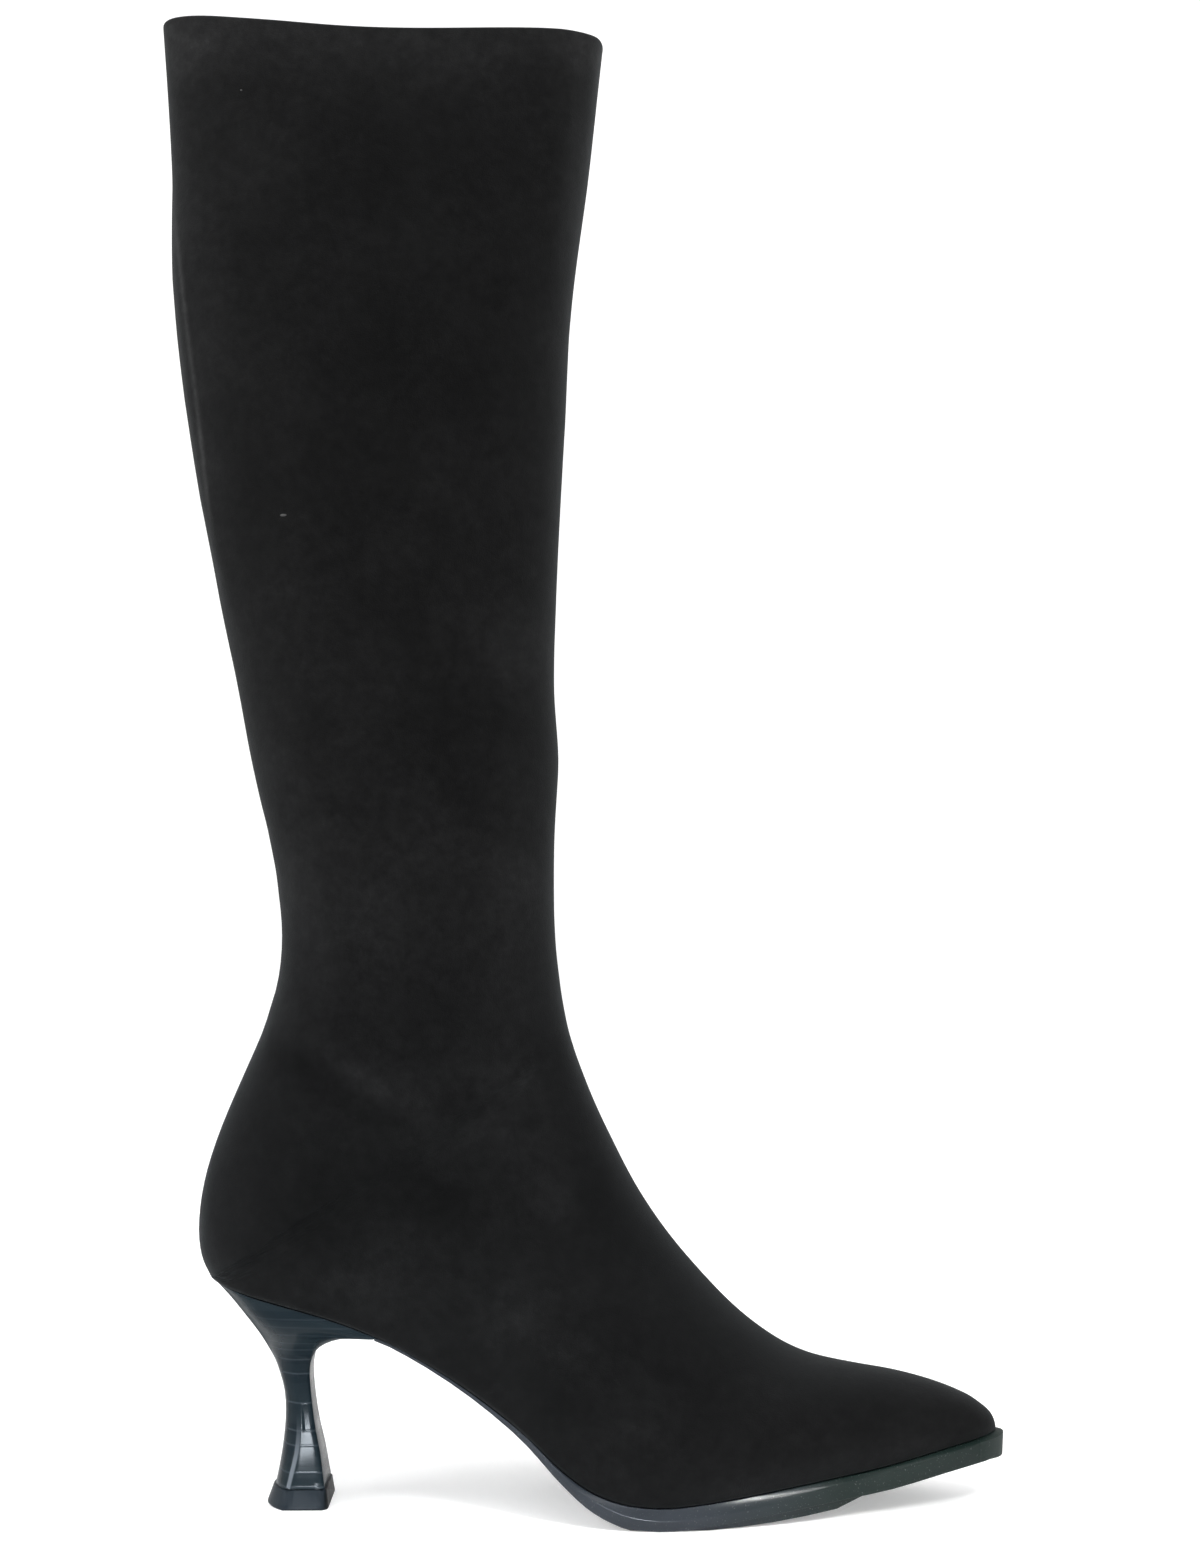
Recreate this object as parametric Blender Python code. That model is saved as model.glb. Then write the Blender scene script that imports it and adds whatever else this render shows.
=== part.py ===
"""Knee-high stretch boot for the right foot, on a flared heel, standing on the floor.

Tables are in millimetres, in the last's own frame: x runs forward from the rearmost point of
the heel counter, y to the inner side of the foot and z up from the floor. The objects are made
in metres, with the origin on the floor under the middle of the boot's box.
"""

import math
from collections import namedtuple

import bmesh
import bpy
import numpy as np
from mathutils import Vector

MM = 0.001

# Driving dimensions, mm
WALL = 2.0  # suede, backing and lining together
GAP = 0.33  # between pieces that meet
FEATHER_BACK = 3.7  # where the sole's edge starts, under the heel counter
FEATHER_TIP = 250.7  # where it ends, under the toe
HEEL_ROUND = 21.0  # length over which the seat rounds off at the back
TOE_ROUND = 6.5  # length over which the point of the toe rounds off
SEAT_END = 57.0  # front lip of the heel, where the outsole begins
SEAT_INSET = 0.8  # of the heel's top behind the upper's edge
HEM_HEIGHT = 14.0  # folded hem along the collar
HEM_EXTRA = 0.7  # what the fold adds to the wall
INSOLE_THICKNESS = 2.2
INSOLE_MARGIN = 1.0  # between the insole's edge and the lining
INSOLE_ENDS = 1.0  # how much sooner it ends at the heel and at the toe
BEVEL_START = 0.2  # how far the outsole's bevelled edge starts beyond the upper
TREAD_INSET = 1.3  # of the raised tread behind the outsole's edge
TREAD_SLOPE = 0.6  # how far the tread's sides slope in
ORIGIN_X = 120.9  # middle of the boot's length

# Mesh density
HALF_COLUMNS = 16  # faces from the lower edge to the front line, on each side of a section
RING_SPACING = 17.0  # greatest distance between the upper's rings
EDGE_SAG = 0.11  # greatest distance of its lower edge from the curve between two rings
SOLE_STEPS = 40  # from the heel to the toe, closer together where the sole bends
ROUND_STEPS = 6  # round a rounded end

OUTER, INNER = -1.0, 1.0  # the two sides of the foot, as signs of y

Plan = namedtuple("Plan", "x outer inner")
PLAN = [  # half widths of the upper's lower edge, before its ends are rounded off
    Plan(4, 23.6, 23.6),
    Plan(25, 24.6, 24.6),
    Plan(45, 25.0, 24.6),
    Plan(65, 24.6, 22.8),
    Plan(82, 25.0, 21.2),
    Plan(98, 27.8, 22.4),
    Plan(114, 32.8, 27.6),
    Plan(130, 35.8, 33.6),
    Plan(145, 36.6, 37.4),
    Plan(160, 35.4, 38.6),
    Plan(178, 30.8, 36.4),
    Plan(198, 24.0, 30.6),
    Plan(218, 17.2, 23.0),
    Plan(236, 10.6, 15.4),
    Plan(246, 6.4, 10.6),
    Plan(252, 4.4, 8.4),
]

Feather = namedtuple("Feather", "x z")
FEATHER = [  # height of the upper's lower edge
    Feather(3, 72.1),
    Feather(14, 69.6),
    Feather(30, 65.4),
    Feather(46, 60.7),
    Feather(60, 55.0),
    Feather(76, 46.2),
    Feather(92, 35.8),
    Feather(104, 26.8),
    Feather(114, 17.7),
    Feather(122, 12.1),
    Feather(131, 8.5),
    Feather(140, 7.1),
    Feather(148, 7.0),
    Feather(156, 7.8),
    Feather(175, 10.1),
    Feather(197, 12.9),
    Feather(215, 15.4),
    Feather(232, 18.9),
    Feather(251, 22.7),
]

Collar = namedtuple("Collar", "x z")
COLLAR = [  # height of the collar, which sags between its back and its front
    Collar(-11, 462.4),
    Collar(2, 461.7),
    Collar(14, 460.2),
    Collar(26, 459.1),
    Collar(45, 457.2),
    Collar(70, 456.5),
    Collar(98, 457.1),
    Collar(113, 457.6),
    Collar(127, 457.6),
]

Shaft = namedtuple("Shaft", "front_x front_z back_x back_z girth front_round back_round")
SHAFT = [  # closed sections, from the collar down to the corner under the heel counter
    Shaft(126.6, 457.6, -11.0, 462.4, 330, 3.2, 3.2),
    Shaft(124.9, 442.0, -9.6, 442.0, 331, 2.9, 2.9),
    Shaft(122.1, 415.7, -8.3, 415.7, 331, 2.7, 2.5),
    Shaft(117.3, 378.0, -7.6, 378.0, 327, 2.5, 2.1),
    Shaft(115.2, 346.0, -4.6, 346.0, 317, 2.4, 1.9),
    Shaft(113.4, 315.0, 0.2, 315.0, 303, 2.3, 1.9),
    Shaft(111.9, 283.6, 6.4, 283.6, 286, 2.2, 1.9),
    Shaft(111.3, 253.0, 12.6, 253.0, 270, 2.2, 2.0),
    Shaft(112.8, 233.5, 16.1, 233.5, 265, 2.2, 2.1),
    Shaft(111.7, 214.5, 20.6, 213.5, 252, 2.1, 2.1),
    Shaft(111.2, 196.5, 24.6, 194.5, 242, 2.1, 2.1),
    Shaft(111.3, 183.5, 26.3, 178.0, 239, 2.1, 2.1),
    Shaft(111.9, 173.0, 24.7, 161.0, 244.5, 2.1, 2.15),
    Shaft(112.8, 166.0, 17.9, 142.0, 264, 2.15, 2.25),
    Shaft(113.5, 160.2, 9.1, 123.0, 289.5, 2.2, 2.32),
    Shaft(114.3, 155.6, 2.2, 104.0, 314.5, 2.25, 2.39),
    Shaft(115.0, 151.8, 0.0, 88.5, 330, 2.3, 2.46),
    Shaft(115.6, 149.0, 0.8, 77.0, 338.6, 2.3, 2.53),
    Shaft(116.2, 146.6, FEATHER_BACK, 71.9, 337.7, 2.3, 2.61),
]

Foot = namedtuple("Foot", "sole_x front_x front_z front_y swell_outer swell_inner widest base crown")
FOOT = [  # open sections over the sole; swell is how far a side stands out past its lower edge
    Foot(6.2, 116.8, 144.4, 0.0, 18.45, 18.45, 0.448, 2.66, 2.3),
    Foot(12.0, 117.8, 141.0, 0.0, 10.65, 10.65, 0.43, 2.61, 2.3),
    Foot(22.0, 119.7, 135.6, 0.1, 5.75, 5.75, 0.402, 2.48, 2.25),
    Foot(40.0, 124.0, 124.8, 0.4, 5.4, 5.9, 0.36, 2.25, 2.15),
    Foot(60.0, 129.6, 113.0, 0.9, 6.2, 7.6, 0.33, 2.1, 2.05),
    Foot(80.0, 136.0, 100.4, 1.6, 6.8, 9.6, 0.31, 2.0, 1.95),
    Foot(100.0, 144.3, 87.6, 2.4, 6.6, 9.2, 0.29, 1.9, 1.8),
    Foot(120.0, 156.3, 72.5, 3.2, 4.4, 6.2, 0.25, 1.9, 1.75),
    Foot(140.0, 171.2, 57.5, 3.8, 3.2, 3.6, 0.23, 1.9, 1.75),
    Foot(160.0, 185.2, 47.8, 4.0, 2.7, 3.0, 0.24, 1.9, 1.8),
    Foot(180.0, 196.6, 43.5, 3.9, 2.3, 2.5, 0.26, 1.9, 1.85),
    Foot(200.0, 208.2, 41.3, 3.5, 1.9, 2.0, 0.28, 1.9, 1.95),
    Foot(218.0, 221.0, 39.3, 3.0, 1.5, 1.6, 0.30, 1.9, 2.05),
    Foot(232.0, 233.0, 36.1, 2.6, 1.1, 1.2, 0.30, 1.9, 2.1),
    Foot(241.0, 241.3, 32.6, 2.3, 0.8, 0.8, 0.30, 1.9, 2.1),
    Foot(246.4, 246.4, 29.3, 2.1, 0.5, 0.5, 0.30, 1.9, 2.1),
    Foot(249.5, 249.5, 26.4, 2.0, 0.2, 0.2, 0.30, 1.9, 2.1),
    Foot(FEATHER_TIP, FEATHER_TIP, 22.6, 2.0, 0.0, 0.0, 0.30, 1.9, 2.1),
]

Sole = namedtuple("Sole", "x welt edge bevel tread")
SOLE = [  # welt: how far it stands out past the upper; edge: its height; bevel: share of the
    # edge that slopes outwards before it stands upright; tread: depth of the raised tread
    Sole(57.3, -1.2, 1.0, 0.2, 0.0),
    Sole(76, -1.0, 1.2, 0.2, 0.0),
    Sole(94, -0.4, 1.8, 0.2, 0.0),
    Sole(104, 0.2, 2.5, 0.2, 0.0),
    Sole(114, 0.9, 3.8, 0.22, 0.0),
    Sole(122, 1.3, 5.3, 0.28, 0.0),
    Sole(129, 1.4, 6.2, 0.38, 0.0),
    Sole(134, 1.5, 6.4, 0.44, 0.7),
    Sole(148, 1.6, 6.4, 0.5, 1.0),
    Sole(157, 1.6, 6.4, 0.5, 1.4),
    Sole(175, 1.6, 6.4, 0.5, 2.6),
    Sole(183, 1.6, 6.4, 0.45, 2.95),
    Sole(192, 1.6, 6.4, 0.22, 3.1),
    Sole(201, 1.6, 6.5, 0.18, 2.9),
    Sole(208.5, 1.6, 6.7, 0.18, 0.0),
    Sole(232, 1.8, 6.8, 0.1, 0.0),
    Sole(252, 2.6, 6.8, 0.08, 0.0),
]

Heel = namedtuple("Heel", "back back_z front front_z ridge half front_half turn seat")
HEEL = [  # sections up the heel; turn: how round its back is; seat: share of the seat's outline
    Heel(24.1, 6.3, 40.3, 6.3, 28.8, 11.4, 11.0, 50, 0.0),
    Heel(25.1, 11.0, 39.6, 11.0, 29.9, 10.2, 9.9, 50, 0.0),
    Heel(26.1, 17.0, 38.7, 17.0, 31.3, 9.0, 8.7, 50, 0.0),
    Heel(26.8, 23.0, 37.4, 23.0, 31.9, 8.1, 7.8, 50, 0.0),
    Heel(27.1, 29.0, 36.4, 29.0, 31.9, 7.4, 7.1, 50, 0.0),
    Heel(26.7, 35.0, 35.7, 35.0, 31.6, 7.1, 6.8, 52, 0.0),
    Heel(25.3, 40.5, 35.3, 40.5, 31.0, 7.6, 7.2, 54, 0.0),
    Heel(23.7, 45.0, 35.7, 45.0, 30.4, 9.0, 8.6, 58, 0.0),
    Heel(21.6, 49.0, 37.5, 49.2, 30.0, 11.2, 11.0, 64, 0.05),
    Heel(19.4, 52.8, 41.0, 52.4, 29.8, 14.2, 14.6, 72, 0.15),
    Heel(16.2, 57.6, 46.0, 54.8, 29.4, 18.0, 18.6, 80, 0.4),
    Heel(12.2, 62.8, 52.2, 55.3, 28.4, 21.2, 21.6, 86, 0.7),
    Heel(8.6, 67.0, 56.3, 55.3, 27.4, 22.8, 22.8, 90, 0.9),
    Heel(FEATHER_BACK + SEAT_INSET, 71.3, SEAT_END, 55.9, 26.4, 23.6, 23.4, 90, 1.0),
]
TOP_PIECE = [  # sections up the top piece, from the floor
    Heel(22.1, 0.0, 41.1, 0.0, 27.4, 12.5, 12.3, 52, 0.0),
    Heel(21.5, 0.6, 41.6, 0.6, 27.2, 13.1, 12.9, 52, 0.0),
    Heel(23.5, 6.0, 40.9, 6.0, 28.5, 11.5, 11.2, 50, 0.0),
]
HEEL_CORNER = 0.7  # cut off the corners between the heel's sides and its breast
TOP_PIECE_CORNER = 1.5
HEEL_SIDE_STEPS = 4
HEEL_BACK_STEPS = 6

Finish = namedtuple("Finish", "colour roughness metallic")
FINISHES = {
    "suede": Finish((0.012, 0.012, 0.013, 1), 0.95, 0.0),
    "sock": Finish((0.03, 0.028, 0.027, 1), 0.8, 0.0),
    "sole_rubber": Finish((0.03, 0.033, 0.035, 1), 0.35, 0.0),
    "stacked_heel": Finish((0.035, 0.04, 0.044, 1), 0.25, 0.0),
    "top_piece_rubber": Finish((0.03, 0.034, 0.038, 1), 0.55, 0.0),
}


# Curves through the tables


def smooth(keys, values):
    """A curve through the values at the keys, as cubics with parabolic tangents."""
    keys, values = np.asarray(keys, float), np.asarray(values, float)
    steps = np.diff(keys)
    slopes = np.diff(values) / steps
    inner = (slopes[:-1] * steps[1:] + slopes[1:] * steps[:-1]) / (steps[:-1] + steps[1:])
    first = 1.5 * slopes[0] - 0.5 * inner[0]
    last = 1.5 * slopes[-1] - 0.5 * inner[-1]
    tangents = np.concatenate([[first], inner, [last]])

    def at(key):
        key = min(max(key, keys[0]), keys[-1])
        i = min(int(np.searchsorted(keys, key, side="right")) - 1, len(steps) - 1)
        h, s = steps[i], (key - keys[i]) / steps[i]
        start = (1 + 2 * s) * (1 - s) ** 2 * values[i] + s * (1 - s) ** 2 * h * tangents[i]
        end = s * s * (3 - 2 * s) * values[i + 1] + s * s * (s - 1) * h * tangents[i + 1]
        return float(start + end)

    return at


def column(table, key, name):
    """The smooth curve of one named column of a table over another."""
    return smooth([getattr(r, key) for r in table], [getattr(r, name) for r in table])


feather_z = column(FEATHER, "x", "z")
collar_z = column(COLLAR, "x", "z")
plan_outer = column(PLAN, "x", "outer")
plan_inner = column(PLAN, "x", "inner")
welt_at = column(SOLE, "x", "welt")
edge_at = column(SOLE, "x", "edge")
bevel_at = column(SOLE, "x", "bevel")


def seat_z(x):
    """Height of what lies under the upper and the insole, a gap below their lower edge."""
    slope = feather_z(x + 0.5) - feather_z(x - 0.5)
    return feather_z(x) - GAP * math.hypot(1, slope)


def tread_at(x):
    """Depth of the raised tread, in straight runs between the rows of its table."""
    return float(np.interp(x, [r.x for r in SOLE], [r.tread for r in SOLE]))


def rounding(distance, reach):
    """1 away from the end of an outline, falling to 0 at it as a quarter ellipse does."""
    share = min(max(1 - distance / reach, 0.0), 1.0)
    return math.sqrt(1 - share * share)


def edge_y(x, side, grow=0.0):
    """y of the sole's outline on one side, for an outline that is larger by grow all round."""
    half = (plan_outer(x) + plan_inner(x)) / 2 + grow
    middle = (plan_inner(x) - plan_outer(x)) / 2
    back = rounding(x - FEATHER_BACK + grow, HEEL_ROUND + grow)
    tip = rounding(FEATHER_TIP + grow - x, TOE_ROUND + grow)
    return middle + side * half * back * tip


# Sections of the upper


def half_section(widest, lower_round, upper_round, low_share):
    """Points (along, out) of one side of a section: along from 0 at its lower end to 1 at the
    front line, and out from low_share through 1 at its widest to 0 at the front line. An open
    section is a closed one that is cut off where it has become as wide as its lower end."""
    cut = math.acos(min(low_share, 0.999) ** (lower_round / 2))
    angles = np.linspace(0, cut, 60)
    low_along = widest * (1 - (np.sin(angles) / math.sin(cut)) ** (2 / lower_round))
    low_out = np.cos(angles) ** (2 / lower_round)
    angles = np.linspace(0, math.pi / 2, 60)
    high_along = widest + (1 - widest) * np.sin(angles) ** (2 / upper_round)
    high_out = np.cos(angles) ** (2 / upper_round)
    low = np.column_stack([low_along, low_out])[::-1]
    high = np.column_stack([high_along, high_out])
    return np.concatenate([low, high[1:]])


def spread(points, count):
    """count + 1 points along a line of points, even by its length and its turning together."""
    steps = np.diff(points, axis=0)
    lengths = np.linalg.norm(steps, axis=1)
    headings = np.unwrap(np.arctan2(steps[:, 1], steps[:, 0]))
    turning = np.concatenate([[0], np.abs(np.diff(headings))])
    weight = lengths / lengths.sum() + 0.6 * turning / max(turning.sum(), 1e-9)
    run = np.concatenate([[0], np.cumsum(weight)])
    wanted = np.linspace(0, run[-1], count + 1)
    return np.column_stack([np.interp(wanted, run, points[:, k]) for k in (0, 1)])


Side = namedtuple("Side", "sign low_half half")


def side_points(low, high, front_y, side, shape):
    """Points of one side of a section, from its lower end up to the front line."""
    reach = side.half - side.sign * front_y
    low_share = max(side.low_half - side.sign * front_y, 0.0) / reach
    length = max(math.dist(low, high), 0.01)
    points = spread(half_section(*shape, low_share) * (length, reach), HALF_COLUMNS)
    return [
        (
            low[0] + along / length * (high[0] - low[0]),
            front_y + side.sign * out,
            low[1] + along / length * (high[1] - low[1]),
        )
        for along, out in points
    ]


def girth_half(row):
    """Half width of a flattened round section that has the row's girth and length."""
    length = math.dist((row.front_x, row.front_z), (row.back_x, row.back_z))
    return (row.girth - 2 * length) / (math.pi - 2) / 2


def section_keys():
    """A key for each section of both tables: how far the middle of the section has moved."""
    ends = [(r.front_x + r.back_x, r.front_z + r.back_z) for r in SHAFT]
    ends += [(r.front_x + r.sole_x, r.front_z + feather_z(r.sole_x)) for r in FOOT]
    steps = np.linalg.norm(np.diff(np.array(ends) / 2, axis=0), axis=1)
    return np.concatenate([[0], np.cumsum(steps)])


def swollen(row, sign, swell):
    return sign * edge_y(row.sole_x, sign) + swell


class UpperForm:
    """The upper's outside, or with a wall thickness its inside, as rings of points."""

    def __init__(self, wall):
        self.wall = wall
        keys = self.keys = section_keys()
        self.corner = keys[len(SHAFT) - 1]
        both = SHAFT + FOOT
        self.front_x = smooth(keys, [r.front_x for r in both])
        self.front_z = smooth(keys, [r.front_z for r in both])
        self.back_x = smooth(keys[: len(SHAFT)], [r.back_x for r in SHAFT])
        self.back_z = smooth(keys[: len(SHAFT)], [r.back_z for r in SHAFT])
        sole_x = [FEATHER_BACK] + [r.sole_x for r in FOOT]
        self.sole_x = smooth(keys[len(SHAFT) - 1 :], sole_x)
        halves = [girth_half(r) for r in SHAFT]
        self.outer = smooth(keys, halves + [swollen(r, OUTER, r.swell_outer) for r in FOOT])
        self.inner = smooth(keys, halves + [swollen(r, INNER, r.swell_inner) for r in FOOT])
        self.front_y = smooth(keys, [0.0] * len(SHAFT) + [r.front_y for r in FOOT])
        leg = [0.5 - 0.0065 * max(0, i - 11) for i in range(len(SHAFT))]
        self.widest = smooth(keys, leg + [r.widest for r in FOOT])
        self.lower_round = smooth(keys, [r.back_round for r in SHAFT] + [r.base for r in FOOT])
        self.upper_round = smooth(keys, [r.front_round for r in SHAFT] + [r.crown for r in FOOT])

    def ends(self, key, wall):
        """Ends of a section in the side view, and the half widths of its lower end."""
        high = np.array([self.front_x(key), self.front_z(key)])
        if key <= self.corner:
            low = np.array([self.back_x(key), self.back_z(key)])
            step = wall * (high - low) / np.linalg.norm(high - low)
            return low + step, high - step, 0.0, 0.0
        x = self.sole_x(key)
        share = (x - FEATHER_BACK) / (FEATHER_TIP - FEATHER_BACK)
        inset_x = x + wall * (1 - 2 * share)
        low = np.array([inset_x, feather_z(inset_x)])
        rise = high + (inset_x - x, 0.0) - low
        length = max(float(np.linalg.norm(rise)), 0.01)
        high = low + rise * (1 - min(wall / length, 1 / 3))
        return low, high, -edge_y(inset_x, OUTER, -wall), edge_y(inset_x, INNER, -wall)

    def ring(self, key, extra=0.0):
        """Points of a section, from its lower edge on the outer side over the front line to
        its lower edge on the inner side."""
        wall = self.wall + extra
        low, high, low_outer, low_inner = self.ends(key, wall)
        front_y = self.front_y(key)
        shape = self.widest(key), self.lower_round(key), self.upper_round(key)
        outer = Side(OUTER, low_outer, max(self.outer(key) - wall, low_outer))
        inner = Side(INNER, low_inner, max(self.inner(key) - wall, low_inner))
        first = side_points(low, high, front_y, outer, shape)
        second = side_points(low, high, front_y, inner, shape)
        return first + second[-2::-1]


# Sections of the heel and the top piece


def heel_ring(row, corner):
    """A section of the heel, from its front corner on the outer side round its back to its
    front corner on the inner side."""
    turn = math.radians(row.turn)
    side = [(row.front, row.front_half - corner)]
    for i in range(HEEL_SIDE_STEPS):
        share = i / HEEL_SIDE_STEPS
        x = (row.front - corner) * (1 - share) + row.ridge * share
        side.append((x, row.front_half + (row.half - row.front_half) * share))
    for i in range(HEEL_BACK_STEPS):
        angle = turn * (1 - i / HEEL_BACK_STEPS)
        back = (row.ridge - row.back) * (1 - math.cos(angle)) / (1 - math.cos(turn))
        side.append((row.back + back, row.half * math.sin(angle) / math.sin(turn)))
    outer = [heel_point(row, x, y, OUTER) for x, y in side]
    inner = [heel_point(row, x, y, INNER) for x, y in side]
    return outer + [heel_point(row, row.back, 0.0, OUTER)] + inner[::-1]


def heel_point(row, x, half, sign):
    """A point of a heel section, drawn towards the outline and the bow of the seat."""
    chord_share = (x - row.back) / (row.front - row.back)
    level = row.back_z + (row.front_z - row.back_z) * chord_share
    seat_back, seat_front = HEEL[-1].back, HEEL[-1].front
    seat_x = seat_back + (seat_front - seat_back) * chord_share
    seat_chord = seat_z(seat_back) * (1 - chord_share) + seat_z(seat_front) * chord_share
    bow = row.seat * (seat_z(seat_x) - seat_chord)
    y = sign * half * (1 - row.seat) + edge_y(seat_x, sign, -SEAT_INSET) * row.seat
    if half == 0.0:
        y = 0.0
    return x, y, level + bow


def between(table, steps):
    """The rows of a table with more rows between them, on smooth curves."""
    keys = list(range(len(table)))
    curves = [smooth(keys, values) for values in zip(*table)]
    count = steps * (len(table) - 1)
    return [Heel(*(curve(i / steps) for curve in curves)) for i in range(count + 1)]


# Meshes


def material(name):
    made = bpy.data.materials.get(name)
    if made is None:
        made = bpy.data.materials.new(name)
        made.use_nodes = True
        shader = made.node_tree.nodes["Principled BSDF"]
        finish = FINISHES[name]
        shader.inputs["Base Color"].default_value = finish.colour
        shader.inputs["Roughness"].default_value = finish.roughness
        shader.inputs["Metallic"].default_value = finish.metallic
    return made


def new_object(name, bm, finish):
    bmesh.ops.recalc_face_normals(bm, faces=bm.faces)
    mesh = bpy.data.meshes.new(name)
    bm.to_mesh(mesh)
    bm.free()
    mesh.shade_smooth()
    mesh.set_sharp_from_angle(angle=math.radians(30))
    mesh.materials.append(material(finish))
    obj = bpy.data.objects.new(name, mesh)
    bpy.context.scene.collection.objects.link(obj)


def verts_of(bm, points):
    return [bm.verts.new((Vector(p) - Vector((ORIGIN_X, 0, 0))) * MM) for p in points]


def strip(bm, first, second):
    """Faces between two rows of verts; corners that fall together are left out."""
    for i in range(len(first) - 1):
        corners = (first[i], first[i + 1], second[i + 1], second[i])
        found = [v for k, v in enumerate(corners) if v is not corners[k - 1]]
        if len(found) > 2:
            bm.faces.new(found)


def skin(bm, rows):
    for first, second in zip(rows, rows[1:]):
        strip(bm, first, second)


# The pieces


def edge_sag(form, start, end):
    """How far the upper's lower edge bows away from a straight run between two rings."""
    edge = []
    for key in np.linspace(start, end, 7):
        x = form.sole_x(key)
        edge.append((x, edge_y(x, OUTER), feather_z(x)))
    edge = np.array(edge)
    run = edge[-1] - edge[0]
    along = run / max(np.linalg.norm(run), 1e-6)
    off = edge - edge[0] - np.outer((edge - edge[0]) @ along, along)
    return float(np.linalg.norm(off, axis=1).max())


def upper_keys(form, hem_end):
    """Keys of the rings: the tables' sections, more between those that lie far apart or where
    the lower edge bends, and two close together where the hem ends."""
    keys = {form.keys[0], hem_end, hem_end + 0.5}
    for start, end in zip(form.keys, form.keys[1:]):
        bow = edge_sag(form, start, end) if start >= form.corner else 0.0
        count = max(math.ceil((end - start) / RING_SPACING), math.ceil(math.sqrt(bow / EDGE_SAG)))
        keys |= {start + (end - start) * (i + 1) / count for i in range(count)}
    return sorted(keys)


def skin_rows(bm, form, keys, hem_end):
    """Rows of verts of the upper's outside or inside. Both ends of a closed section share one
    vert, and at the tip of the toe a whole section does."""
    rows = []
    for key in keys:
        inside_hem = form.wall > 0 and key <= hem_end
        points = form.ring(key, HEM_EXTRA if inside_hem else 0.0)
        if key == keys[0]:
            points = [(x, y, collar_z(x)) for x, y, z in points]
        if key == keys[-1]:
            rows.append(verts_of(bm, points[:1]) * len(points))
        elif key <= form.corner:
            row = verts_of(bm, points[:-1])
            rows.append(row + row[:1])
        else:
            rows.append(verts_of(bm, points))
    return rows


def upper():
    """One hollow wall from the collar to the toe, open at the collar and under the foot."""
    bm = bmesh.new()
    outside, inside = UpperForm(0.0), UpperForm(WALL)
    hem_end = HEM_HEIGHT
    keys = upper_keys(outside, hem_end)
    rows = skin_rows(bm, outside, keys, hem_end)
    lining = skin_rows(bm, inside, keys, hem_end)
    skin(bm, rows)
    skin(bm, lining)
    strip(bm, rows[0], lining[0])
    under = [i for i, key in enumerate(keys) if key >= outside.corner]
    for edge in (0, -1):
        strip(bm, [rows[i][edge] for i in under], [lining[i][edge] for i in under])
    new_object("upper", bm, "suede")


def places_along(start, end, start_round, end_round):
    """Places along the sole's line, closer where it bends and on ends that are rounded off."""
    line = [(x, feather_z(x)) for x in np.linspace(FEATHER_BACK, FEATHER_TIP, 200)]
    bends = [float(x) for x, z in spread(np.array(line), SOLE_STEPS)]
    places = [x for x in bends if start + start_round + 1 < x < end - end_round - 1]
    for i in range(ROUND_STEPS):
        closing = 1 - math.cos(math.pi / 2 * i / ROUND_STEPS)
        if start_round:
            places.append(start + start_round * closing)
        places.append(end - end_round * closing)
    places += [start + start_round, end - end_round]
    return sorted(places)


def insole():
    """The insole board with its sock, inside the foot of the upper."""
    bm = bmesh.new()
    grow = -(WALL + INSOLE_MARGIN)
    start, end = FEATHER_BACK - grow + INSOLE_ENDS, FEATHER_TIP + grow - INSOLE_ENDS
    rows = []
    for x in places_along(start, end, HEEL_ROUND + grow, TOE_ROUND + grow):
        low, high = feather_z(x), feather_z(x) + INSOLE_THICKNESS
        if x in (start, end):
            y = (edge_y(x, INNER, grow) + edge_y(x, OUTER, grow)) / 2
            bottom, top = verts_of(bm, [(x, y, low), (x, y, high)])
            rows.append([bottom, bottom, top, top, bottom])
        else:
            outer, inner = edge_y(x, OUTER, grow), edge_y(x, INNER, grow)
            ring = [(x, outer, low), (x, inner, low), (x, inner, high), (x, outer, high)]
            row = verts_of(bm, ring)
            rows.append(row + row[:1])
    skin(bm, rows)
    new_object("insole", bm, "sock")


def outsole_side(x, sign):
    """Points of the outsole's section on one side, from its top edge to the tread's face."""
    share = (x - SEAT_END - GAP) / (FEATHER_TIP - SEAT_END - GAP)
    welt, edge = welt_at(x), edge_at(x)
    top = seat_z(x)
    bottom = top - edge
    tread = max(bottom - tread_at(x), 0.0)
    profile = [
        (min(BEVEL_START, welt), top),
        (welt, top - edge * bevel_at(x)),
        (welt - 0.3, bottom),
        (welt - TREAD_INSET, bottom),
        (welt - TREAD_INSET - TREAD_SLOPE, tread),
    ]
    return [(x + grow * share, edge_y(x + grow * share, sign, grow), z) for grow, z in profile]


def outsole():
    """Forepart with a bevelled edge and a raised tread, and a thin shank up to the heel."""
    bm = bmesh.new()
    rows = []
    for x in places_along(SEAT_END + GAP, FEATHER_TIP, 0.0, TOE_ROUND):
        outer, inner = outsole_side(x, OUTER), outsole_side(x, INNER)
        if x == FEATHER_TIP:
            tip = verts_of(bm, outer)
            rows.append(tip + tip[::-1] + tip[:1])
        else:
            row = verts_of(bm, outer + inner[::-1])
            rows.append(row + row[:1])
    skin(bm, rows)
    count = len(rows[0]) - 1
    strip(bm, rows[0][: count // 2], rows[0][count - 1 : count // 2 - 1 : -1])
    new_object("outsole", bm, "sole_rubber")


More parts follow.
